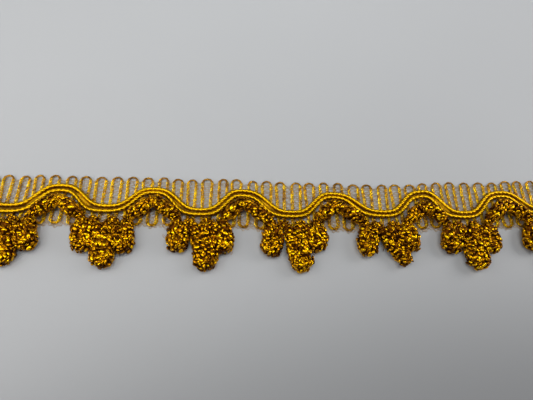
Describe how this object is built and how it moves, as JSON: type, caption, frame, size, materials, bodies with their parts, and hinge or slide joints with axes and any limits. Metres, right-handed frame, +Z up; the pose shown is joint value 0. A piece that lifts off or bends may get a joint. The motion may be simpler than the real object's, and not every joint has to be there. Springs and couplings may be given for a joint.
{
  "type": "metallic fringe trim",
  "caption": "Cut length of gold metallic braid: a looped heading thread, wavy wrapped cords and a fringe of knitted yarn in three-lobed drops.",
  "frame": {"origin": "the middle of the trim's box, on the surface that it lies on", "axes": "+X along the trim, +Y across it to the looped top edge, +Z up out of the right side"},
  "size_m": [0.1662, 0.0263, 0.0034],
  "materials": {
    "heading_thread": "fine twisted metallised thread, brownish gold with bright flecks",
    "wrapped_cord": "cord wrapped in flat metallised strip, bright polished gold",
    "drop_yarn": "thick knitted metallised yarn, dark gold that glitters"
  },
  "bodies": {
    "root": {"heading_loops": "heading_thread", "wrapped_cord_upper": "wrapped_cord", "wrapped_cord_lower": "wrapped_cord", "drop_yarn": "drop_yarn"}
  },
  "joints": []
}
